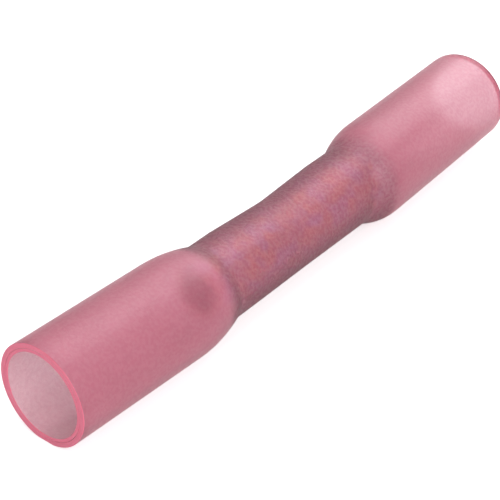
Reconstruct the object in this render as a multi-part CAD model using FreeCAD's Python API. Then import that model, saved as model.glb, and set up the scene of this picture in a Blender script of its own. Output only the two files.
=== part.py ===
import FreeCAD, Part
import math
import os

# Waterproof crimp sleeve: a butt splice that joins two wires, lying on its side.
# It is three pieces, one inside the other: a crimp barrel of tinned copper, a lining of hot-melt
# adhesive and a heat-shrink sleeve. The sleeve is shrunk on to the barrel in the middle and is still
# wide at both ends, where the wires go in.
# Millimetres. X runs along the barrel from the near end to the far end, and +Z is up. The origin is
# on the surface that the sleeve lies on, under the middle of its box.

Vector = FreeCAD.Vector

# Crimp barrel
BARREL_LENGTH = 13.9
BARREL_RADIUS = 1.53
BORE_RADIUS = 0.85
BORE_LEAD_IN = 0.2
BARREL_EDGE_CHAMFER = 0.1

# Wire stop: the middle of the barrel, pressed in from one side until the bore is too narrow to pass
STOP_HALF_WIDTH = 1.0
STOP_DENT = 0.35
STOP_DENT_BEHIND = 0.12
STOP_RIDGE = 0.45
STOP_RIDGE_BEHIND = 0.25
STOP_ROUNDING = 0.3
PRESSED_SIDE = 60.0

# Walls of the lining and the sleeve where they are still wide
MOUTH_BORE_RADIUS = 2.225
LINER_WALL = 0.18
SLEEVE_WALL = 0.27

# Shallow dip of the shrunk sleeve over the wire stop
DIP_HALF_WIDTH = 4.2
DIP_DEPTH = 0.17
DIP_BEHIND = 0.01
DIP_ROUNDING = 10.0

# Near end: the sleeve lets go of the barrel, widens along the neck and runs on to the mouth
NEAR_RELEASE = 0.95
NEAR_NECK_LENGTH = 3.0
NEAR_FLARE_LENGTH = 8.5
NEAR_BEND = 2.6
NEAR_SLANT = 0.0

# Far end: its neck is shorter, and slants round the barrel
FAR_RELEASE = 0.9
FAR_NECK_LENGTH = 2.2
FAR_FLARE_LENGTH = 10.25
FAR_BEND = 2.3
FAR_SLANT = 12.0

# Side to which both slants lean
SLANT_SIDE = 43.0

# Depth of the flat that the soft sleeve gets along the line on which it lies
REST_FLAT = 0.05

# Bands that each neck is made of, enough to keep within a few microns of its curve
NECK_BANDS = 6

# A block that reaches well past every piece, used to trim a cylinder with a plane
TRIM_REACH = 4.0 * (BARREL_LENGTH + NEAR_FLARE_LENGTH + FAR_FLARE_LENGTH)

# How far the odd poles of an exact circle stand out from it; their weight is the inverse
CORNER_POLE_REACH = math.sqrt(2)

X_AXIS = Vector(1, 0, 0)
Z_AXIS = Vector(0, 0, 1)


class End:
    """One wide end of the sleeve: side is -1 at the near end and +1 at the far end."""

    def __init__(self, side, release, neck_length, flare_length, bend, slant):
        turn = math.radians(bend)
        self.inner_direction = X_AXIS * side
        self.outer_direction = Vector(side * math.cos(turn), math.sin(turn), 0)
        self.corner = self.inner_direction * (BARREL_LENGTH / 2 - release)
        self.shoulder = self.corner + self.inner_direction * (neck_length / 2)
        self.neck_end = self.shoulder + self.outer_direction * (neck_length / 2)
        self.mouth = self.neck_end + self.outer_direction * flare_length
        self.flare_length = flare_length
        self.slant = math.radians(slant)
        self.lean = side_vector(SLANT_SIDE) * side


def side_vector(degrees):
    """Unit vector across the barrel, turned from +Y up towards +Z."""
    angle = math.radians(degrees)
    return Vector(0, math.cos(angle), math.sin(angle))


def slanted_axes(end, direction):
    """Unit vectors along and across the oval that the slanted plane cuts from a tube, and its normal."""
    across = end.lean - direction * end.lean.dot(direction)
    across.normalize()
    short = direction.cross(across)
    long = across * math.cos(end.slant) + direction * math.sin(end.slant)
    normal = direction * math.cos(end.slant) - across * math.sin(end.slant)
    return long, short, normal


def beyond(end, point, direction):
    """Block that fills everything outwards of the slanted plane through point."""
    corner = Vector(-TRIM_REACH / 2, -TRIM_REACH / 2, 0)
    block = Part.makeBox(TRIM_REACH, TRIM_REACH, TRIM_REACH, corner)
    normal = slanted_axes(end, direction)[2]
    block.Placement = FreeCAD.Placement(point, FreeCAD.Rotation(Z_AXIS, normal))
    return block


def ring_poles(end, centre, direction, radius):
    """The nine poles of the exact oval in which a tube of this radius meets the slanted plane."""
    long, short, _ = slanted_axes(end, direction)
    poles = []
    for step in range(9):
        angle = math.radians(45 * step)
        reach = radius * (CORNER_POLE_REACH if step % 2 else 1.0)
        across = short * (reach * math.sin(angle))
        poles.append(centre + long * (reach * math.cos(angle) / math.cos(end.slant)) + across)
    return poles


def neck(end, grip_radius, flare_radius):
    """Bell from the barrel to the wide tube: a corner at the barrel, level where it meets the tube.

    Its bands keep to one smooth curve, which the corner and shoulder ovals steer.
    """
    corner = ring_poles(end, end.corner, end.inner_direction, grip_radius)
    shoulder = ring_poles(end, end.shoulder, end.outer_direction, flare_radius)
    neck_end = ring_poles(end, end.neck_end, end.outer_direction, flare_radius)
    poles = []
    weights = []
    for step, (first, middle, last) in enumerate(zip(corner, shoulder, neck_end)):
        row = []
        for band in range(NECK_BANDS + 1):
            t = band / NECK_BANDS
            row.append(first * (1 - t) ** 2 + middle * (2 * t * (1 - t)) + last * t ** 2)
        poles.append(row)
        weights.append([1 / CORNER_POLE_REACH if step % 2 else 1.0] * len(row))
    surface = Part.BSplineSurface()
    surface.buildFromPolesMultsKnots(poles, [3, 2, 2, 2, 3], [2] + [1] * (NECK_BANDS - 1) + [2],
                                     list(range(5)), list(range(NECK_BANDS + 1)),
                                     False, False, 2, 1, weights)
    faces = [surface.toShape()]
    for place in (0, NECK_BANDS):
        faces.append(Part.Face(Part.Wire([surface.vIso(place).toShape()])))
    return Part.Solid(Part.makeShell(faces))


def flare(end, radius):
    """Straight wide tube from the neck to the mouth."""
    setback = end.outer_direction * (2 * radius)
    rod = Part.makeCylinder(radius, end.flare_length + 2 * radius, end.neck_end - setback,
                            end.outer_direction)
    return rod.common(beyond(end, end.neck_end, end.outer_direction))


def press_ring(radius, half_width, dent, dent_behind, rounding):
    """Ring that presses a rod of this radius: it stands off centre, so it bites deeper on one side.

    Its edge is a V with a rounded tip, as wide as the dent is where it is deepest.
    """
    off_centre = (dent - dent_behind) / 2
    top = radius + off_centre
    bottom = top - dent
    tip_height = bottom + rounding
    to_shoulder = math.hypot(half_width, top - tip_height)
    angle = math.atan2(top - tip_height, half_width) - math.acos(rounding / to_shoulder)
    touch_x = rounding * math.cos(angle)
    touch_y = tip_height + rounding * math.sin(angle)
    rim = top + dent
    corners = [
        Vector(touch_x, touch_y, 0),
        Vector(half_width, top, 0),
        Vector(half_width, rim, 0),
        Vector(-half_width, rim, 0),
        Vector(-half_width, top, 0),
        Vector(-touch_x, touch_y, 0),
    ]
    edges = [Part.LineSegment(*pair).toShape() for pair in zip(corners, corners[1:])]
    edges.append(Part.Arc(corners[-1], Vector(0, bottom, 0), corners[0]).toShape())
    ring = Part.Face(Part.Wire(edges)).revolve(Vector(0, 0, 0), X_AXIS, 360)
    ring.translate(side_vector(PRESSED_SIDE) * -off_centre)
    return ring


def pressed_rod(radius, half_length, half_width, dent, dent_behind, rounding):
    """Rod along X, pressed in round its middle: deep on the pressed side, shallow behind it."""
    rod = Part.makeCylinder(radius, 2 * half_length, X_AXIS * -half_length, X_AXIS)
    return rod.cut(press_ring(radius, half_width, dent, dent_behind, rounding))


def envelope(grip, grip_radius, flare_radius):
    """Solid form inside one surface of the sleeve or lining, from mouth to mouth.

    The grip is the rod that this surface makes over the barrel, and is trimmed here to its necks.
    """
    pieces = []
    for end in (NEAR_END, FAR_END):
        grip = grip.cut(beyond(end, end.corner, end.inner_direction))
        pieces.append(neck(end, grip_radius, flare_radius))
        pieces.append(flare(end, flare_radius))
    return grip.fuse(pieces).removeSplitter()


NEAR_END = End(-1, NEAR_RELEASE, NEAR_NECK_LENGTH, NEAR_FLARE_LENGTH, NEAR_BEND, NEAR_SLANT)
FAR_END = End(1, FAR_RELEASE, FAR_NECK_LENGTH, FAR_FLARE_LENGTH, FAR_BEND, FAR_SLANT)


def shrunk_radius(flare_radius):
    """Radius over the barrel of a surface that keeps the wall's cross-section as it shrinks."""
    return math.sqrt(BARREL_RADIUS ** 2 + flare_radius ** 2 - MOUTH_BORE_RADIUS ** 2)


def barrel_outside(half_length):
    """Outside of the barrel, with the dent of the wire stop."""
    return pressed_rod(BARREL_RADIUS, half_length, STOP_HALF_WIDTH, STOP_DENT, STOP_DENT_BEHIND,
                       STOP_ROUNDING)


def make_barrel():
    """Copper tube with a pressed wire stop and chamfered ends."""
    half = BARREL_LENGTH / 2
    bore = pressed_rod(BORE_RADIUS, half, STOP_HALF_WIDTH, STOP_RIDGE, STOP_RIDGE_BEHIND,
                       STOP_ROUNDING)
    waste = [bore]
    for side in (-1, 1):
        inwards = X_AXIS * -side
        start = X_AXIS * (side * half)
        waste.append(Part.makeCone(BORE_RADIUS + BORE_LEAD_IN, BORE_RADIUS, BORE_LEAD_IN,
                                   start, inwards))
        collar = Part.makeCylinder(2 * BARREL_RADIUS, BARREL_EDGE_CHAMFER, start, inwards)
        taper = Part.makeCone(BARREL_RADIUS - BARREL_EDGE_CHAMFER, BARREL_RADIUS,
                              BARREL_EDGE_CHAMFER, start, inwards)
        waste.append(collar.cut(taper))
    return barrel_outside(half).cut(waste).removeSplitter()


def shrunk_surface(flare_radius):
    """Solid form inside a surface that is flare_radius wide at the mouths and dips over the stop."""
    grip_radius = shrunk_radius(flare_radius)
    grip = pressed_rod(grip_radius, BARREL_LENGTH, DIP_HALF_WIDTH, DIP_DEPTH, DIP_BEHIND,
                       DIP_ROUNDING)
    return envelope(grip, grip_radius, flare_radius)


def below(height):
    """Block that fills everything below this height."""
    return Part.makeBox(TRIM_REACH, TRIM_REACH, TRIM_REACH,
                        Vector(-TRIM_REACH / 2, -TRIM_REACH / 2, height - TRIM_REACH))


def make_layers():
    """Lining and sleeve, which share the surface between them. The sleeve is flat where it lies."""
    flare_radius = MOUTH_BORE_RADIUS + LINER_WALL + SLEEVE_WALL
    hollow = envelope(barrel_outside(BARREL_LENGTH), BARREL_RADIUS, MOUTH_BORE_RADIUS)
    between = shrunk_surface(MOUTH_BORE_RADIUS + LINER_WALL)
    outside = shrunk_surface(flare_radius).cut(below(REST_FLAT - flare_radius))
    return between.cut(hollow), outside.cut(between)


def to_origin(sleeve):
    """Move that puts the origin under the middle of the sleeve's box, on the surface below it."""
    box = sleeve.optimalBoundingBox()
    return Vector(-(box.XMin + box.XMax) / 2, -(box.YMin + box.YMax) / 2, -box.ZMin)


def print_interfaces(move):
    """Where a wire's insulation and its bare conductor go in, at each end."""
    half = BARREL_LENGTH / 2
    for name, end in (("near", NEAR_END), ("far", FAR_END)):
        print(name, "mouth", end.mouth + move, "out", end.outer_direction,
              "depth", end.flare_length)
        point = end.inner_direction * (half - BORE_LEAD_IN)
        print(name, "barrel", point + move, "out", end.inner_direction,
              "depth", half - BORE_LEAD_IN - STOP_HALF_WIDTH)


def main():
    os.makedirs("parts", exist_ok=True)
    liner, sleeve = make_layers()
    pieces = {
        "heat_shrink_sleeve": sleeve,
        "adhesive_liner": liner,
        "crimp_barrel": make_barrel(),
    }
    move = to_origin(sleeve)
    for name, shape in pieces.items():
        shape.translate(move)
        shape.exportStep("parts/" + name + ".step")
    print_interfaces(move)


main()
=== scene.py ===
import math
from collections import namedtuple

import bmesh
import bpy
from mathutils import Matrix, Vector


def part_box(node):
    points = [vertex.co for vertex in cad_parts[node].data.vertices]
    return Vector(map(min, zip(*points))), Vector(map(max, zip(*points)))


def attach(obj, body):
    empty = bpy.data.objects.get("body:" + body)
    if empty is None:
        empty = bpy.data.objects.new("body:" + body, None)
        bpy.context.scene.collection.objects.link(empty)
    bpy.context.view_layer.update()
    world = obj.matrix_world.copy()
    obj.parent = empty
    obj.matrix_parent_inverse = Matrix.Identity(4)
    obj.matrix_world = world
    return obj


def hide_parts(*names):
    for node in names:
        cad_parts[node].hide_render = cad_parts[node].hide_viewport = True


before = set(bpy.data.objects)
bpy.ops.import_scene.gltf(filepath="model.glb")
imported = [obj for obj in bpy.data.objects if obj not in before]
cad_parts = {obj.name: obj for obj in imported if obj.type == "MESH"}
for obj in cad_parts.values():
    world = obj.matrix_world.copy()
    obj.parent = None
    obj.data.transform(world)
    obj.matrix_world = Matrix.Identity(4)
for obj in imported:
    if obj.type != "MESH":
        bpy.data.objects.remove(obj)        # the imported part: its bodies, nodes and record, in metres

bl_info = {
    "name": "Waterproof Crimp Sleeve",
    "version": (1, 0, 0),
    "blender": (4, 5, 0),
    "location": "View3D > Sidebar > Crimp Sleeve",
    "description": "Builds a heat-shrink crimp sleeve: its film, its glue lining and its barrel",
    "category": "Add Mesh",
}

MM = 0.001
X_AXIS = Vector((1, 0, 0))
Y_AXIS = Vector((0, 1, 0))
Z_AXIS = Vector((0, 0, 1))

# The barrel's box in the frame gives its place, its length and its radius
BARREL_LOW, BARREL_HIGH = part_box("crimp_barrel")
BARREL_CENTRE = (BARREL_LOW + BARREL_HIGH) / 2
BARREL_HALF = (BARREL_HIGH.x - BARREL_LOW.x) / 2
BARREL_RADIUS = (BARREL_HIGH.z - BARREL_LOW.z) / 2

# Facets round each piece, and the angle up to which they are shaded as one curve
FACETS = 96
SMOOTH_ANGLE = math.radians(35)

# Steps from ring to ring along each stretch of the film and the lining
NEAR_FLARE_STEPS = 14
NEAR_NECK_STEPS = 12
GRIP_STEPS = 40
FAR_NECK_STEPS = 10
FAR_FLARE_STEPS = 16

# Steps from the middle of the wire stop to either side of it
STOP_STEPS = 10

# Share of the barrel over which the far neck's slant fades out
SLANT_FADE = 1 / 6

# A ring whose two sides differ by less than this share stays a plain circle
ROUND_ENOUGH = 1e-5

# How near a point must be to the cutting plane to count as on it: the flat under the film is
# so shallow that a wider tolerance would leave it uncut
CUT_TOLERANCE = 1e-7

# Edges sharper than this are cut rims, and this many facets round them off
SHARP_ANGLE = math.radians(60)
RIM_SEGMENTS = 3

# A face belongs to a cut rim if it is this near the end of the box and faces along X this much
RIM_REACH = 0.4 * MM
RIM_FACING = 0.3

# The floor lies this far under the sleeve, so that no two faces share a plane
FLOOR_GAP = 0.02 * MM

# Size of each pattern, in millimetres. The frosting, the wrinkles and the drawing lines are
# finer on the real pieces, and are drawn as coarse as they need to be to show.
FILM_CLOUD = 3.0
FILM_FROSTING = 0.12
FILM_WRINKLE = 0.18
RIM_MARK = 0.25
GLUE_RIPPLE = 0.9
DRAWING_LINE = 0.12
TIN_PATCH = 0.7

# Width of a drawing line as a share of its length, which runs along the barrel
DRAWING_SLIMNESS = 0.08

# How deep the bump of the soft pieces and of the metal reaches
SOFT_RELIEF = 0.03 * MM
METAL_RELIEF = 0.01 * MM

# How many times the height of the frosting the wrinkles have
WRINKLE_HEIGHT = 4.0

# A noise pattern between these values goes from none to all of a second colour
NOISE_LOW = 0.4
NOISE_HIGH = 0.6

# The film's finish over the barrel starts this far beyond the barrel's end, and is complete this
# far inside it
GRIP_STARTS = 0.6 * MM
GRIP_COMPLETE = 0.4 * MM

# Shares of the film's finish, on the wide tubes and over the barrel: how strong the specks are,
# how much of the Fresnel gloss shows, and how much of the light each face takes for its haze
TUBE_SPECKS, GRIP_SPECKS = 0.35, 0.6
TUBE_GLOSS, GRIP_GLOSS = 0.42, 0.15
TUBE_HAZE, GRIP_HAZE = 0.28, 0.12

# Share of gloss that the film has where it is seen straight on
LEAST_GLOSS = 0.03

# How fast the film's tint deepens along the light's way through it, per metre
FILM_DENSITY = 0.95 / MM

# Share of a milky body that glows with the light behind it
GLOW_SHARE = 0.3

# Shares of the glue: what it lets through untouched, and what it reflects
GLUE_CLEAR = 0.93
GLUE_GLOSS = 0.05

# What one face of the glue lets through of white light
GLUE_TINT = (0.98, 0.97, 0.97, 1)

WHITE = (1, 1, 1, 1)

# Strength of the studio's light, and of the white that shows as the background
STUDIO_LIGHT = 0.7
BACKGROUND_WHITE = 1.0

# Light that lifts the floor to white where it is seen
PAPER_LIFT = 0.55

# Each lamp's place and width in metres, and its power in watts
LAMPS = {
    "key": ((0.20, 0.035, 0.22), 0.26, 0.5),
    "fill": ((-0.10, -0.22, 0.18), 0.20, 0.5),
}

# An oval ring: its centre and the two vectors from there to its long and its short side
Ring = namedtuple("Ring", "centre long short")


def size(default_mm, name, description):
    """A length that the user may change, given in millimetres."""
    return bpy.props.FloatProperty(name=name, description=description, default=default_mm * MM,
                                   unit="LENGTH", precision=5)


def angle(default_degrees, name, description):
    """An angle that the user may change, given in degrees."""
    return bpy.props.FloatProperty(name=name, description=description,
                                   default=math.radians(default_degrees), subtype="ANGLE")


def linear(hex_colour):
    """Linear red, green, blue and alpha of an sRGB colour such as #c86478."""
    channels = []
    for start in (1, 3, 5):
        value = int(hex_colour[start:start + 2], 16) / 255
        channels.append(value / 12.92 if value <= 0.04045 else ((value + 0.055) / 1.055) ** 2.4)
    return (*channels, 1.0)


def colour(hex_colour, name, description):
    """A colour that the user may change, given as it looks on a screen."""
    return bpy.props.FloatVectorProperty(name=name, description=description, size=4, min=0, max=1,
                                         subtype="COLOR", default=linear(hex_colour))


class CrimpSleeveSizes(bpy.types.PropertyGroup):
    """Sizes of the film and its lining."""

    mouth_bore_radius: size(2.225, "Mouth bore radius", "Inside radius of the lining at the mouths")
    lining_wall: size(0.18, "Lining wall", "Thickness of the glue lining at the mouths")
    film_wall: size(0.27, "Film wall", "Thickness of the heat-shrink film at the mouths")
    layer_gap: size(0.006, "Layer gap", "Air left between two layers that touch")
    rim_rounding: size(0.035, "Rim rounding", "How far the cut rims are rounded")
    near_release: size(0.95, "Near release", "Bare end of the barrel inside the near neck")
    near_neck_length: size(3.0, "Near neck length", "Length over which the near end widens")
    near_flare_length: size(8.5, "Near flare length", "Length of the wide near tube")
    near_bend: angle(2.6, "Near bend", "Angle from the barrel to the near tube")
    far_release: size(0.9, "Far release", "Bare end of the barrel inside the far neck")
    far_neck_length: size(2.2, "Far neck length", "Length over which the far end widens")
    far_flare_length: size(10.25, "Far flare length", "Length of the wide far tube")
    far_bend: angle(2.3, "Far bend", "Angle from the barrel to the far tube")
    far_slant: angle(12.0, "Far slant", "How far the far neck leans over, round the barrel")
    slant_side: angle(43.0, "Slant side", "Side to which the slant leans, from +Y up")
    bend_side: angle(0.0, "Bend side", "Side to which both ends bend, from +Y up")
    dip_half_width: size(4.2, "Dip half width", "Half the length of the dip over the wire stop")
    dip_depth: size(0.17, "Dip depth", "Depth of that dip on the pressed side")
    dip_behind: size(0.01, "Dip behind", "Depth of that dip behind the pressed side")
    dip_rounding: size(10.0, "Dip rounding", "Radius at the bottom of that dip")


class CrimpBarrelSizes(bpy.types.PropertyGroup):
    """Sizes of the barrel, apart from its length and radius, which the frame gives."""

    bore_radius: size(0.85, "Bore radius", "Radius of the hole for the conductor")
    lead_in: size(0.2, "Lead-in", "Width and depth of the chamfer at the bore's ends")
    edge_chamfer: size(0.1, "Edge chamfer", "Chamfer round the barrel's ends")
    stop_half_width: size(1.0, "Stop half width", "Half the length of the pressed wire stop")
    stop_dent: size(0.35, "Stop dent", "Depth of the stop's dent outside, on the pressed side")
    stop_dent_behind: size(0.12, "Stop dent behind", "Depth of that dent behind the pressed side")
    stop_ridge: size(0.45, "Stop ridge", "Height of the stop's ridge in the bore")
    stop_ridge_behind: size(0.25, "Stop ridge behind", "Height of that ridge on the other side")
    stop_rounding: size(0.3, "Stop rounding", "Radius at the bottom of the dent")
    pressed_side: angle(60.0, "Pressed side", "Side that the stop is pressed from, from +Y up")


class CrimpSleeveColours(bpy.types.PropertyGroup):
    """Colours of the three pieces."""

    film: colour("#ec86a0", "Film", "Heat-shrink film where light falls on it")
    film_cloud: colour("#e27894", "Film, cloudy", "Cloudy patches of the film")
    film_through: colour("#f08ca4", "Film, light through", "Heat-shrink film with light behind it")
    film_clear: colour("#f7f6f8", "Film, clear", "What one frosted face of the film lets through")
    film_speck: colour("#dcc4d2", "Film, speckled", "What a speck of the film lets through")
    film_depth: colour("#dc5c80", "Film, in depth", "What is left of white light deep in the film")
    rim: colour("#f07a94", "Rim", "Cut rim of the film and the lining")
    lining: colour("#f0e4e2", "Lining", "Hot-melt glue lining")
    tin_edge: colour("#54488c", "Tin, edges", "Tin plating where it is seen at a slant")
    copper: colour("#ffd6b4", "Copper", "Copper that shows through thin tin")
    tin: colour("#e6e0fa", "Tin", "Tin plating of the barrel")


class CrimpSleeveStage(bpy.types.PropertyGroup):
    """Floor and camera."""

    floor_size: size(2000.0, "Floor size", "Width of the floor")
    floor_colour: colour("#d8d8d8", "Floor", "Colour of the floor")
    camera_azimuth: angle(52.44, "Camera azimuth", "Turn of the view from +Y towards +X")
    camera_elevation: angle(33.29, "Camera elevation", "How steeply the camera looks down")
    camera_distance: size(87.776, "Camera distance", "Distance from the camera to its aim")
    aim_along: size(-1.663, "Aim along", "Where the camera aims, along X")
    aim_across: size(0.927, "Aim across", "Where the camera aims, along Y")
    aim_height: size(1.702, "Aim height", "Where the camera aims, along Z")
    lens: bpy.props.FloatProperty(name="Lens", description="Focal length in millimetres",
                                  default=121.72, unit="CAMERA")


def side_vector(turn):
    """Unit vector across the barrel, turned from +Y up towards +Z."""
    return Y_AXIS * math.cos(turn) + Z_AXIS * math.sin(turn)


class End:
    """One wide end of the sleeve: side is -1 at the near end and +1 at the far end."""

    def __init__(self, side, release, neck_length, flare_length, bend, slant, sizes):
        outwards = X_AXIS * side
        axis = BARREL_CENTRE.copy()
        # The barrel's facets stop just short of its +Y side, so its axis is measured from the other
        axis.y = BARREL_LOW.y + BARREL_RADIUS
        bent = outwards * math.cos(bend) + side_vector(sizes.bend_side) * math.sin(bend)
        self.corner = axis + outwards * (BARREL_HALF - release)
        self.shoulder = self.corner + outwards * (neck_length / 2)
        self.neck_end = self.shoulder + bent * (neck_length / 2)
        self.mouth = self.neck_end + bent * flare_length
        self.direction = bent * side
        self.slant = slant
        self.side_of_slant = side_vector(sizes.slant_side)

    def ring(self, centre, direction, radius, slant):
        """The oval that a plane with this slant cuts from a tube, both given along +X."""
        across = self.side_of_slant - direction * self.side_of_slant.dot(direction)
        across.normalize()
        long = across + direction * math.tan(slant)
        return Ring(centre, long * radius, direction.cross(across) * radius)

    def flare(self, radius, steps):
        """Rings of the wide tube, from its mouth to just before its neck."""
        rings = []
        for step in range(steps):
            share = step / steps
            centre = self.mouth.lerp(self.neck_end, share)
            rings.append(self.ring(centre, self.direction, radius, self.slant * share))
        return rings

    def neck(self, grip_radius, flare_radius, steps):
        """Rings of the bell, from the wide tube to the barrel."""
        ends = (self.ring(self.neck_end, self.direction, flare_radius, self.slant),
                self.ring(self.shoulder, self.direction, flare_radius, self.slant),
                self.ring(self.corner, X_AXIS, grip_radius, self.slant))
        return [blended(ends, step / steps) for step in range(steps + 1)]


def blended(ends, share):
    """Ring on the smooth curve from the first ring to the last, steered by the middle one."""
    weights = ((1 - share) ** 2, 2 * share * (1 - share), share ** 2)
    parts = []
    for vectors in zip(*ends):
        total = Vector((0, 0, 0))
        for weight, vector in zip(weights, vectors):
            total += vector * weight
        parts.append(total)
    return Ring(*parts)


def near_end(sizes):
    """The end that the camera looks into."""
    return End(-1, sizes.near_release, sizes.near_neck_length, sizes.near_flare_length,
               sizes.near_bend, 0.0, sizes)


def far_end(sizes):
    """The other end, whose neck slants round the barrel."""
    return End(1, sizes.far_release, sizes.far_neck_length, sizes.far_flare_length,
               sizes.far_bend, sizes.far_slant, sizes)


def press_depth(place, half_width, dent, rounding):
    """Depth of a pressed groove at this place along it: a V with a rounded bottom."""
    centre_height = rounding - dent
    reach = math.hypot(half_width, centre_height)
    slope = math.atan2(half_width, centre_height) - math.acos(rounding / reach)
    place = abs(place)
    if place < rounding * math.sin(slope):
        return dent - rounding + math.sqrt(rounding ** 2 - place ** 2)
    return max(0.0, (half_width - place) * math.tan(slope))


def pressing(half_width, dent, dent_behind, rounding, pressed_side):
    """A press on the middle of the barrel: it takes a ring and gives it back pushed in."""
    towards = side_vector(pressed_side)

    def press(ring):
        front = press_depth(ring.centre.x - BARREL_CENTRE.x, half_width, dent, rounding)
        behind = front * dent_behind / dent
        share = 1 - (front + behind) / (2 * ring.short.length)
        moved = ring.centre - towards * ((front - behind) / 2)
        return Ring(moved, ring.long * share, ring.short * share)
    return press


def shrunk_radius(flare_radius, sizes):
    """Radius over the barrel of a surface that keeps the wall's cross-section as it shrinks."""
    return math.sqrt(BARREL_RADIUS ** 2 + flare_radius ** 2 - sizes.mouth_bore_radius ** 2)


def grip(near, far, radius, steps, press):
    """Rings over the barrel, between the two corners; the far slant fades out in the last ones."""
    rings = []
    for step in range(1, steps):
        share = step / steps
        centre = near.corner.lerp(far.corner, share)
        slant = far.slant * max(0.0, 1 - (1 - share) / SLANT_FADE)
        ring = far.ring(centre, X_AXIS, radius, slant)
        rings.append(press(ring))
    return rings


def skin(sizes, grip_radius, flare_radius, press):
    """Rings of one surface of the film or lining, from the near mouth to the far mouth."""
    near = near_end(sizes)
    far = far_end(sizes)
    rings = near.flare(flare_radius, NEAR_FLARE_STEPS)
    rings += near.neck(grip_radius, flare_radius, NEAR_NECK_STEPS)
    rings += grip(near, far, grip_radius, GRIP_STEPS, press)
    rings += far.neck(grip_radius, flare_radius, FAR_NECK_STEPS)[::-1]
    rings += far.flare(flare_radius, FAR_FLARE_STEPS)[::-1]
    return rings


def ring_frame(ring):
    """Matrix whose columns run along the ring's long side, its short side and its normal."""
    long = ring.long.normalized()
    normal = ring.long.cross(ring.short).normalized()
    return Matrix((long, normal.cross(long), normal)).transposed()


def add_ring(ring):
    """Adds the ring as a circle, and widens it to the oval that it is."""
    turned = ring_frame(ring)
    bpy.ops.mesh.primitive_circle_add(vertices=FACETS, radius=ring.short.length,
                                      location=ring.centre, rotation=turned.to_euler())
    widening = ring.long.length / ring.short.length
    if abs(widening - 1) > ROUND_ENOUGH:
        bpy.ops.transform.resize(value=(widening, 1, 1), orient_type="LOCAL",
                                 orient_matrix=turned, orient_matrix_type="LOCAL",
                                 center_override=ring.centre)


def select_rings(mesh, numbers):
    """Selects these rings, which lie in the mesh one after the other."""
    bpy.ops.mesh.select_all(action="DESELECT")
    edit = bmesh.from_edit_mesh(mesh)
    edit.verts.ensure_lookup_table()
    for number in numbers:
        for vertex in edit.verts[number * FACETS:(number + 1) * FACETS]:
            vertex.select = True
    edit.select_flush(True)
    bmesh.update_edit_mesh(mesh)


def loft(name, rings):
    """Closed skin over the rings: each is bridged to the next, and the last to the first."""
    bpy.ops.object.select_all(action="DESELECT")
    add_ring(rings[0])
    piece = bpy.context.object
    piece.name = name
    bpy.ops.object.transform_apply()
    bpy.ops.object.mode_set(mode="EDIT")
    for ring in rings[1:]:
        add_ring(ring)
    for number in range(len(rings)):
        select_rings(piece.data, (number, (number + 1) % len(rings)))
        bpy.ops.mesh.bridge_edge_loops()
    bpy.ops.mesh.select_all(action="SELECT")
    bpy.ops.mesh.normals_make_consistent(inside=False)
    bpy.ops.object.mode_set(mode="OBJECT")
    return piece


def select_only(piece):
    """Makes this the one piece that the next operators act on."""
    bpy.ops.object.select_all(action="DESELECT")
    piece.select_set(True)
    bpy.context.view_layer.objects.active = piece


def add_modifier(piece, kind, **settings):
    """Adds a modifier with these settings and applies it."""
    modifier = piece.modifiers.new(kind.title(), kind)
    for name, value in settings.items():
        setattr(modifier, name, value)
    select_only(piece)
    bpy.ops.object.modifier_apply(modifier=modifier.name)


def add_node(tree, kind, inputs=None, **settings):
    """Adds a node with these settings; an input takes a value or the output of another node."""
    node = tree.nodes.new(kind)
    for name, value in settings.items():
        setattr(node, name, value)
    for socket, value in (inputs or {}).items():
        if isinstance(value, bpy.types.NodeSocket):
            tree.links.new(value, node.inputs[socket])
        else:
            node.inputs[socket].default_value = value
    return node


def new_material(name):
    """An empty material and its node tree."""
    material = bpy.data.materials.new(name)
    material.use_nodes = True
    material.node_tree.nodes.clear()
    return material, material.node_tree


def per_metre(grain_mm):
    """Noise scale for a grain of this many millimetres."""
    return 1 / (grain_mm * MM)


def over_barrel(tree, place):
    """Factor that is 1 where the film grips the barrel and fades to 0 along the necks."""
    along = add_node(tree, "ShaderNodeSeparateXYZ", {0: place}).outputs["X"]
    offset = add_node(tree, "ShaderNodeMath", {0: along, 1: BARREL_CENTRE.x},
                      operation="SUBTRACT").outputs[0]
    distance = add_node(tree, "ShaderNodeMath", {0: offset}, operation="ABSOLUTE").outputs[0]
    return add_node(tree, "ShaderNodeMapRange",
                    {"Value": distance, "From Min": BARREL_HALF + GRIP_STARTS,
                     "From Max": BARREL_HALF - GRIP_COMPLETE},
                    interpolation_type="SMOOTHSTEP").outputs[0]


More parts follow.
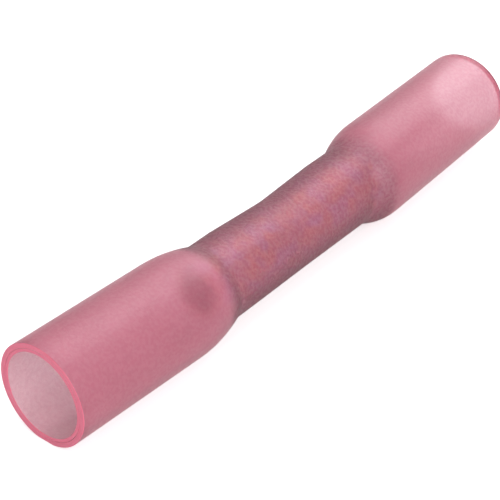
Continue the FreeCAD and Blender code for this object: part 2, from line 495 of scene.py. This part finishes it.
def polyolefin_film(colours):
    """Cross-linked polyolefin, extruded, expanded and shrunk: frosted, satin, pink right through.

    Most light goes through each face and is blurred on its way, so what lies behind looks soft. The
    rest meets a milky body, which glows where light comes from behind. Over the barrel the film is
    clearer and finely wrinkled, and the metal shows through with a grain. The tint deepens with the
    length of film that light crosses. The index for light going through is below polyolefin's own,
    so that the wall traps less light, which would darken it, and the gloss keeps a typical one.
    """
    material, tree = new_material("frosted_polyolefin_film")
    place = add_node(tree, "ShaderNodeTexCoord").outputs["Object"]
    shrunk = over_barrel(tree, place)
    cloud = add_node(tree, "ShaderNodeTexNoise", {"Vector": place, "Scale": per_metre(FILM_CLOUD),
                                                  "Detail": 3.0}).outputs["Fac"]
    frosting = add_node(tree, "ShaderNodeTexNoise",
                        {"Vector": place, "Scale": per_metre(FILM_FROSTING),
                         "Detail": 2.0}).outputs["Fac"]
    wrinkles = add_node(tree, "ShaderNodeTexNoise",
                        {"Vector": place, "Scale": per_metre(FILM_WRINKLE),
                         "Detail": 3.0}).outputs["Fac"]
    wrinkled = add_node(tree, "ShaderNodeMath", {0: wrinkles, 1: shrunk},
                        operation="MULTIPLY").outputs[0]
    height = add_node(tree, "ShaderNodeMath", {0: wrinkled, 1: WRINKLE_HEIGHT, 2: frosting},
                      operation="MULTIPLY_ADD").outputs[0]
    bump = add_node(tree, "ShaderNodeBump", {"Height": height, "Strength": 0.5,
                                             "Distance": SOFT_RELIEF}).outputs["Normal"]
    tint = add_node(tree, "ShaderNodeMix", {"Factor": cloud, 6: colours.film,
                                            7: colours.film_cloud}, data_type="RGBA").outputs[2]
    strongest = add_node(tree, "ShaderNodeMapRange", {"Value": shrunk, "To Min": TUBE_SPECKS,
                                                      "To Max": GRIP_SPECKS}).outputs[0]
    specks = add_node(tree, "ShaderNodeMapRange", {"Value": wrinkles, "From Min": NOISE_LOW,
                                                   "From Max": NOISE_HIGH,
                                                   "To Max": strongest}).outputs[0]
    through = add_node(tree, "ShaderNodeMix", {"Factor": specks, 6: colours.film_clear,
                                               7: colours.film_speck}, data_type="RGBA").outputs[2]
    clear = add_node(tree, "ShaderNodeBsdfRefraction",
                     {"Color": through, "Roughness": 0.28, "IOR": 1.3, "Normal": bump})
    gloss = add_node(tree, "ShaderNodeBsdfGlossy", {"Color": WHITE, "Roughness": 0.45,
                                                    "Normal": bump})
    mirrored = add_node(tree, "ShaderNodeFresnel", {"IOR": 1.45, "Normal": bump}).outputs[0]
    strength = add_node(tree, "ShaderNodeMapRange", {"Value": shrunk, "To Min": TUBE_GLOSS,
                                                     "To Max": GRIP_GLOSS}).outputs[0]
    share = add_node(tree, "ShaderNodeMath", {0: mirrored, 1: strength, 2: LEAST_GLOSS},
                     operation="MULTIPLY_ADD").outputs[0]
    glossy = add_node(tree, "ShaderNodeMixShader", {0: share, 1: clear.outputs[0],
                                                    2: gloss.outputs[0]})
    body = add_node(tree, "ShaderNodeBsdfPrincipled",
                    {"Base Color": tint, "Roughness": 0.45, "IOR": 1.5,
                     "Specular IOR Level": 0.2, "Normal": bump})
    glow = add_node(tree, "ShaderNodeBsdfTranslucent", {"Color": colours.film_through})
    milky = add_node(tree, "ShaderNodeMixShader", {0: GLOW_SHARE, 1: body.outputs[0],
                                                   2: glow.outputs[0]})
    haze = add_node(tree, "ShaderNodeMapRange", {"Value": shrunk, "To Min": TUBE_HAZE,
                                                 "To Max": GRIP_HAZE}).outputs[0]
    film = add_node(tree, "ShaderNodeMixShader", {0: haze, 1: glossy.outputs[0],
                                                  2: milky.outputs[0]})
    tinted = add_node(tree, "ShaderNodeVolumeAbsorption", {"Color": colours.film_depth,
                                                           "Density": FILM_DENSITY})
    add_node(tree, "ShaderNodeOutputMaterial", {"Surface": film.outputs[0],
                                                "Volume": tinted.outputs[0]})
    return material


def cut_edge(colours):
    """Cut rim of the film and the glue: matt, and glowing with the light that runs along them."""
    material, tree = new_material("cut_film_edge")
    place = add_node(tree, "ShaderNodeTexCoord").outputs["Object"]
    marks = add_node(tree, "ShaderNodeTexNoise", {"Vector": place, "Scale": per_metre(RIM_MARK),
                                                  "Detail": 2.0}).outputs["Fac"]
    tint = add_node(tree, "ShaderNodeMix", {"Factor": marks, 6: colours.rim,
                                            7: colours.film_through}, data_type="RGBA").outputs[2]
    bump = add_node(tree, "ShaderNodeBump", {"Height": marks, "Strength": 0.2,
                                             "Distance": SOFT_RELIEF}).outputs["Normal"]
    body = add_node(tree, "ShaderNodeBsdfPrincipled",
                    {"Base Color": tint, "Roughness": 0.6, "IOR": 1.5, "Normal": bump})
    glow = add_node(tree, "ShaderNodeBsdfTranslucent", {"Color": tint})
    both = add_node(tree, "ShaderNodeMixShader", {0: GLOW_SHARE, 1: body.outputs[0],
                                                  2: glow.outputs[0]})
    add_node(tree, "ShaderNodeOutputMaterial", {"Surface": both.outputs[0]})
    return material


def hot_melt_glue(colours):
    """Hot-melt glue, flowed and set: smooth, glossy, milky and nearly clear."""
    material, tree = new_material("hot_melt_glue")
    place = add_node(tree, "ShaderNodeTexCoord").outputs["Object"]
    ripple = add_node(tree, "ShaderNodeTexNoise", {"Vector": place, "Scale": per_metre(GLUE_RIPPLE),
                                                   "Detail": 1.0}).outputs["Fac"]
    bump = add_node(tree, "ShaderNodeBump", {"Height": ripple, "Strength": 0.2,
                                             "Distance": SOFT_RELIEF}).outputs["Normal"]
    milk = add_node(tree, "ShaderNodeBsdfDiffuse", {"Color": colours.lining, "Normal": bump})
    clear = add_node(tree, "ShaderNodeBsdfTransparent", {"Color": GLUE_TINT})
    body = add_node(tree, "ShaderNodeMixShader", {0: GLUE_CLEAR, 1: milk.outputs[0],
                                                  2: clear.outputs[0]})
    gloss = add_node(tree, "ShaderNodeBsdfGlossy", {"Color": WHITE, "Roughness": 0.25,
                                                    "Normal": bump})
    both = add_node(tree, "ShaderNodeMixShader", {0: GLUE_GLOSS, 1: body.outputs[0],
                                                  2: gloss.outputs[0]})
    add_node(tree, "ShaderNodeOutputMaterial", {"Surface": both.outputs[0]})
    return material


def tinned_copper(colours):
    """Tin-plated copper tube, drawn and dull, with the copper's warmth where the tin is thin."""
    material, tree = new_material("tinned_copper")
    place = add_node(tree, "ShaderNodeTexCoord").outputs["Object"]
    drawn = add_node(tree, "ShaderNodeMapping", {"Vector": place,
                                                 "Scale": (DRAWING_SLIMNESS, 1, 1)}).outputs[0]
    lines = add_node(tree, "ShaderNodeTexNoise", {"Vector": drawn, "Scale": per_metre(DRAWING_LINE),
                                                  "Detail": 3.0}).outputs["Fac"]
    rough = add_node(tree, "ShaderNodeMapRange", {"Value": lines, "To Min": 0.55,
                                                  "To Max": 0.75}).outputs[0]
    bump = add_node(tree, "ShaderNodeBump", {"Height": lines, "Strength": 0.15,
                                             "Distance": METAL_RELIEF}).outputs["Normal"]
    patches = add_node(tree, "ShaderNodeTexNoise", {"Vector": place, "Scale": per_metre(TIN_PATCH),
                                                    "Detail": 4.0}).outputs["Fac"]
    warm = add_node(tree, "ShaderNodeMapRange", {"Value": patches, "From Min": NOISE_LOW,
                                                 "From Max": NOISE_HIGH}).outputs[0]
    tint = add_node(tree, "ShaderNodeMix", {"Factor": warm, 6: colours.tin,
                                            7: colours.copper}, data_type="RGBA").outputs[2]
    metal = add_node(tree, "ShaderNodeBsdfPrincipled",
                     {"Base Color": tint, "Metallic": 1.0, "Specular Tint": colours.tin_edge,
                      "Roughness": rough, "Normal": bump})
    add_node(tree, "ShaderNodeOutputMaterial", {"Surface": metal.outputs[0]})
    return material


def dip_press(sizes, barrel):
    """The shallow dip of the film and lining over the wire stop."""
    return pressing(sizes.dip_half_width, sizes.dip_depth, sizes.dip_behind, sizes.dip_rounding,
                    barrel.pressed_side)


def stop_press(barrel):
    """The dent of the wire stop outside the barrel."""
    return pressing(barrel.stop_half_width, barrel.stop_dent, barrel.stop_dent_behind,
                    barrel.stop_rounding, barrel.pressed_side)


def ridge_press(barrel):
    """The ridge of the wire stop in the barrel's bore."""
    return pressing(barrel.stop_half_width, barrel.stop_ridge, barrel.stop_ridge_behind,
                    barrel.stop_rounding, barrel.pressed_side)


def finish_rims(piece, material):
    """Gives the cut rims at both mouths a finish of their own."""
    piece.data.materials.append(material)
    low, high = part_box("heat_shrink_sleeve")
    for face in piece.data.polygons:
        at_mouth = face.center.x < low.x + RIM_REACH or face.center.x > high.x - RIM_REACH
        if at_mouth and abs(face.normal.x) > RIM_FACING:
            face.material_index = 1


def finish_piece(piece, material, node):
    """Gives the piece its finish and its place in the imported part."""
    piece.data.materials.append(material)
    select_only(piece)
    bpy.ops.object.shade_smooth_by_angle(angle=SMOOTH_ANGLE)
    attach(piece, "root")
    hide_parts(node)


def round_rims(piece, width):
    """Rounds the cut rims: the sharp edges of the piece."""
    add_modifier(piece, "BEVEL", width=width, segments=RIM_SEGMENTS, limit_method="ANGLE",
                 angle_limit=SHARP_ANGLE)


def flatten_below(piece, height):
    """Cuts off what reaches below this height, and closes the cut with a flat."""
    select_only(piece)
    bpy.ops.object.mode_set(mode="EDIT")
    bpy.ops.mesh.select_all(action="SELECT")
    bpy.ops.mesh.bisect(plane_co=(0, 0, height), plane_no=(0, 0, 1), use_fill=True,
                        clear_inner=True, threshold=CUT_TOLERANCE)
    bpy.ops.object.mode_set(mode="OBJECT")


class CRIMPSLEEVE_OT_film(bpy.types.Operator):
    """Model the heat-shrink film: wide at both mouths, shrunk on to the barrel between them"""

    bl_idname = "crimp_sleeve.film"
    bl_label = "Heat-shrink film"

    def execute(self, context):
        sizes = context.scene.crimp_sleeve_sizes
        press = dip_press(sizes, context.scene.crimp_barrel_sizes)
        inside = sizes.mouth_bore_radius + sizes.lining_wall
        outside = inside + sizes.film_wall
        rings = skin(sizes, shrunk_radius(outside, sizes), outside, press)
        rings += skin(sizes, shrunk_radius(inside, sizes), inside, press)[::-1]
        film = loft("shrink_film", rings)
        flatten_below(film, 0.0)
        round_rims(film, sizes.rim_rounding)
        finish_piece(film, polyolefin_film(context.scene.crimp_sleeve_colours),
                     "heat_shrink_sleeve")
        finish_rims(film, cut_edge(context.scene.crimp_sleeve_colours))
        return {"FINISHED"}


class CRIMPSLEEVE_OT_lining(bpy.types.Operator):
    """Model the glue lining inside the film"""

    bl_idname = "crimp_sleeve.lining"
    bl_label = "Glue lining"

    def execute(self, context):
        sizes = context.scene.crimp_sleeve_sizes
        barrel = context.scene.crimp_barrel_sizes
        inside = sizes.mouth_bore_radius
        outside = inside + sizes.lining_wall - sizes.layer_gap
        rings = skin(sizes, shrunk_radius(outside, sizes), outside, dip_press(sizes, barrel))
        rings += skin(sizes, BARREL_RADIUS + sizes.layer_gap, inside, stop_press(barrel))[::-1]
        lining = loft("glue_lining", rings)
        round_rims(lining, sizes.rim_rounding)
        finish_piece(lining, hot_melt_glue(context.scene.crimp_sleeve_colours),
                     "adhesive_liner")
        finish_rims(lining, cut_edge(context.scene.crimp_sleeve_colours))
        return {"FINISHED"}


def barrel_ring(place, radius):
    """Ring round the barrel at this place along it, measured from its middle."""
    return Ring(BARREL_CENTRE + X_AXIS * place, Y_AXIS * radius, Z_AXIS * radius)


class CRIMPSLEEVE_OT_barrel(bpy.types.Operator):
    """Model the crimp barrel with its pressed wire stop"""

    bl_idname = "crimp_sleeve.barrel"
    bl_label = "Crimp barrel"

    def execute(self, context):
        barrel = context.scene.crimp_barrel_sizes
        stop = [barrel.stop_half_width * step / STOP_STEPS
                for step in range(-STOP_STEPS, STOP_STEPS + 1)]
        edge = BARREL_HALF - barrel.edge_chamfer
        mouth = BARREL_HALF - barrel.lead_in
        outside = [barrel_ring(-BARREL_HALF, BARREL_RADIUS - barrel.edge_chamfer)]
        outside += [barrel_ring(place, BARREL_RADIUS) for place in [-edge, *stop, edge]]
        outside.append(barrel_ring(BARREL_HALF, BARREL_RADIUS - barrel.edge_chamfer))
        inside = [barrel_ring(-BARREL_HALF, barrel.bore_radius + barrel.lead_in)]
        inside += [barrel_ring(place, barrel.bore_radius) for place in [-mouth, *stop, mouth]]
        inside.append(barrel_ring(BARREL_HALF, barrel.bore_radius + barrel.lead_in))
        outside = [stop_press(barrel)(ring) for ring in outside]
        inside = [ridge_press(barrel)(ring) for ring in inside]
        tube = loft("crimp_tube", outside + inside[::-1])
        finish_piece(tube, tinned_copper(context.scene.crimp_sleeve_colours),
                     "crimp_barrel")
        return {"FINISHED"}


def white_where_seen(tree, shade, seen):
    """Mixes in a second shader for what the camera, a reflection or a clear layer shows."""
    path = add_node(tree, "ShaderNodeLightPath")
    some = add_node(tree, "ShaderNodeMath", {0: path.outputs["Is Camera Ray"],
                                             1: path.outputs["Is Glossy Ray"]},
                    operation="MAXIMUM")
    any_of = add_node(tree, "ShaderNodeMath", {0: some.outputs[0],
                                               1: path.outputs["Is Transmission Ray"]},
                      operation="MAXIMUM")
    return add_node(tree, "ShaderNodeMixShader", {0: any_of.outputs[0], 1: shade, 2: seen})


def studio_paper(stage):
    """Matt studio paper, pale grey and lifted to white where it is seen: it keeps the shadow."""
    material, tree = new_material("studio_paper")
    paper = add_node(tree, "ShaderNodeBsdfDiffuse", {"Color": stage.floor_colour})
    lift = add_node(tree, "ShaderNodeEmission", {"Strength": PAPER_LIFT})
    lifted = add_node(tree, "ShaderNodeAddShader", {0: paper.outputs[0], 1: lift.outputs[0]})
    shown = white_where_seen(tree, paper.outputs[0], lifted.outputs[0])
    add_node(tree, "ShaderNodeOutputMaterial", {"Surface": shown.outputs[0]})
    return material


def add_lamp(name, place, width, power):
    """Soft round lamp that points at the origin."""
    lamp = bpy.data.lights.new(name, "AREA")
    lamp.shape = "DISK"
    lamp.size = width
    lamp.energy = power
    holder = bpy.data.objects.new(name, lamp)
    holder.location = place
    holder.rotation_euler = (-Vector(place)).to_track_quat("-Z", "Y").to_euler()
    bpy.context.scene.collection.objects.link(holder)


class CRIMPSLEEVE_OT_stage(bpy.types.Operator):
    """Set up the floor, the world, the lamps and the camera"""

    bl_idname = "crimp_sleeve.stage"
    bl_label = "Stage"

    def execute(self, context):
        stage = context.scene.crimp_sleeve_stage
        bpy.ops.object.select_all(action="DESELECT")
        bpy.ops.mesh.primitive_plane_add(size=stage.floor_size, location=(0, 0, -FLOOR_GAP))
        floor = context.object
        floor.name = "floor"
        floor.data.materials.append(studio_paper(stage))

        world = bpy.data.worlds.new("studio")
        context.scene.world = world
        world.use_nodes = True
        tree = world.node_tree
        tree.nodes.clear()
        light = add_node(tree, "ShaderNodeBackground", {"Color": WHITE, "Strength": STUDIO_LIGHT})
        white = add_node(tree, "ShaderNodeBackground", {"Color": WHITE,
                                                        "Strength": BACKGROUND_WHITE})
        shown = white_where_seen(tree, light.outputs[0], white.outputs[0])
        add_node(tree, "ShaderNodeOutputWorld", {"Surface": shown.outputs[0]})

        for name, lamp in LAMPS.items():
            add_lamp(name, *lamp)

        camera = bpy.data.objects.new("camera", bpy.data.cameras.new("camera"))
        flat = X_AXIS * math.sin(stage.camera_azimuth) + Y_AXIS * math.cos(stage.camera_azimuth)
        forward = flat * math.cos(stage.camera_elevation) - Z_AXIS * math.sin(stage.camera_elevation)
        aim = Vector((stage.aim_along, stage.aim_across, stage.aim_height))
        camera.location = aim - forward * stage.camera_distance
        camera.rotation_euler = forward.to_track_quat("-Z", "Y").to_euler()
        camera.data.lens = stage.lens
        camera.data.clip_start = 1 * MM
        context.scene.collection.objects.link(camera)
        context.scene.camera = camera
        context.scene.view_settings.view_transform = "Standard"
        return {"FINISHED"}


class CRIMPSLEEVE_PT_panel(bpy.types.Panel):
    """Lists the pieces and the stage"""

    bl_idname = "CRIMPSLEEVE_PT_panel"
    bl_label = "Crimp Sleeve"
    bl_space_type = "VIEW_3D"
    bl_region_type = "UI"
    bl_category = "Crimp Sleeve"

    def draw(self, context):
        for operator in OPERATORS:
            self.layout.operator(operator.bl_idname)


SETTINGS = {
    "crimp_sleeve_sizes": CrimpSleeveSizes,
    "crimp_barrel_sizes": CrimpBarrelSizes,
    "crimp_sleeve_colours": CrimpSleeveColours,
    "crimp_sleeve_stage": CrimpSleeveStage,
}
OPERATORS = (CRIMPSLEEVE_OT_film, CRIMPSLEEVE_OT_lining, CRIMPSLEEVE_OT_barrel,
             CRIMPSLEEVE_OT_stage)


def register():
    """Adds the settings, the operators and the panel."""
    for kind in (*SETTINGS.values(), *OPERATORS, CRIMPSLEEVE_PT_panel):
        bpy.utils.register_class(kind)
    for name, group in SETTINGS.items():
        setattr(bpy.types.Scene, name, bpy.props.PointerProperty(type=group))


def unregister():
    """Takes them away again."""
    for name in SETTINGS:
        delattr(bpy.types.Scene, name)
    for kind in (CRIMPSLEEVE_PT_panel, *OPERATORS, *SETTINGS.values()):
        bpy.utils.unregister_class(kind)


def main():
    """Builds the three pieces and the stage."""
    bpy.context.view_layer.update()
    register()
    bpy.ops.crimp_sleeve.film()
    bpy.ops.crimp_sleeve.lining()
    bpy.ops.crimp_sleeve.barrel()
    bpy.ops.crimp_sleeve.stage()


if __name__ == "__main__":
    main()
